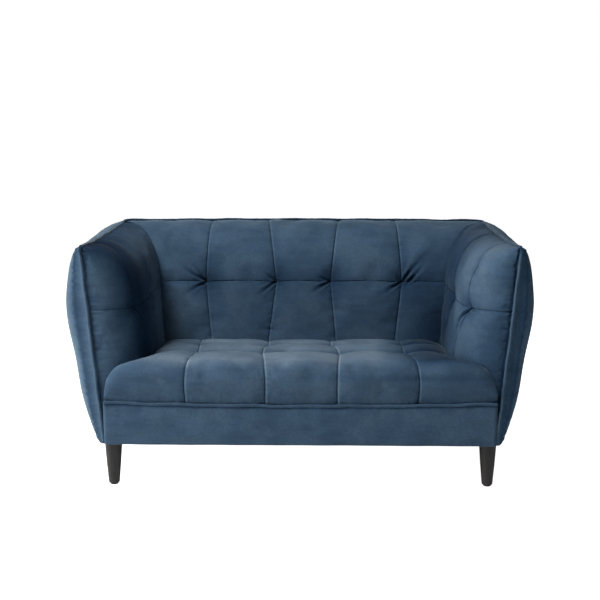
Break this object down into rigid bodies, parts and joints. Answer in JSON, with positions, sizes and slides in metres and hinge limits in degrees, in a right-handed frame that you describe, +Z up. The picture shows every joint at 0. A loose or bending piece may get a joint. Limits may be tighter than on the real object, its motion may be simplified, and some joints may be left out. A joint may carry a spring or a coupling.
{
  "type": "sofa",
  "caption": "Compact two-seat sofa: deep-tufted velvet seat and back, padded flaring arms, piped seams, sinuous-spring base and tapered wooden legs.",
  "frame": {"origin": "on the floor, under the middle of the bounding box", "axes": "+X to the right of somebody facing the sofa, +Y from its front to its back, +Z up; right and left in node names are as seen by somebody facing it"},
  "size_m": [1.5462, 0.8182, 0.8244],
  "materials": {
    "velvet": "slate-blue velvet over foam, deep-tufted",
    "welt": "the same velvet on a piping cord",
    "leg_wood": "dark stained, satin lacquer",
    "glide_plastic": "black, matt",
    "frame_wood": "planed softwood, raw",
    "board": "hardboard, raw",
    "steel": "bright zinc plate",
    "felt": "grey needled felt",
    "dust_cover": "black non-woven cloth"
  },
  "bodies": {
    "root": {"leg_front_right": "leg_wood", "leg_front_left": "leg_wood", "leg_rear_right": "leg_wood", "leg_rear_left": "leg_wood", "glide_front_right": "glide_plastic", "glide_front_left": "glide_plastic", "glide_rear_right": "glide_plastic", "glide_rear_left": "glide_plastic", "hanger_bolt_front_right": "steel", "leg_plate_front_right": "steel", "hanger_bolt_front_left": "steel", "leg_plate_front_left": "steel", "hanger_bolt_rear_right": "steel", "leg_plate_rear_right": "steel", "hanger_bolt_rear_left": "steel", "leg_plate_rear_left": "steel", "base_front_rail": "frame_wood", "base_rear_rail": "frame_wood", "base_centre_rail": "frame_wood", "base_side_rail_right": "frame_wood", "base_side_rail_left": "frame_wood", "front_corner_block_right": "frame_wood", "front_corner_block_left": "frame_wood", "rear_corner_block_right": "frame_wood", "rear_corner_block_left": "frame_wood", "seat_spring_1": "steel", "seat_spring_2": "steel", "seat_spring_3": "steel", "seat_spring_4": "steel", "seat_spring_5": "steel", "seat_spring_6": "steel", "spring_felt": "felt", "dust_cover": "dust_cover", "arm_front_post_right": "frame_wood", "arm_front_post_left": "frame_wood", "arm_top_rail_right": "frame_wood", "arm_top_rail_left": "frame_wood", "arm_bottom_rail_right": "frame_wood", "arm_bottom_rail_left": "frame_wood", "arm_board_right": "board", "arm_board_left": "board", "arm_bolt_front_right": "steel", "arm_bolt_front_left": "steel", "arm_bolt_rear_right": "steel", "arm_bolt_rear_left": "steel", "back_post_right": "frame_wood", "back_post_left": "frame_wood", "back_top_rail": "frame_wood", "back_bottom_rail": "frame_wood", "back_board": "board", "arm_pad_right": "velvet", "arm_pad_left": "velvet", "back_pad": "velvet", "arm_shell_right": "velvet", "arm_shell_left": "velvet", "back_shell": "velvet", "seat_cushion": "velvet", "front_border": "velvet", "shell_welt": "welt", "seat_welt": "welt"}
  },
  "joints": []
}
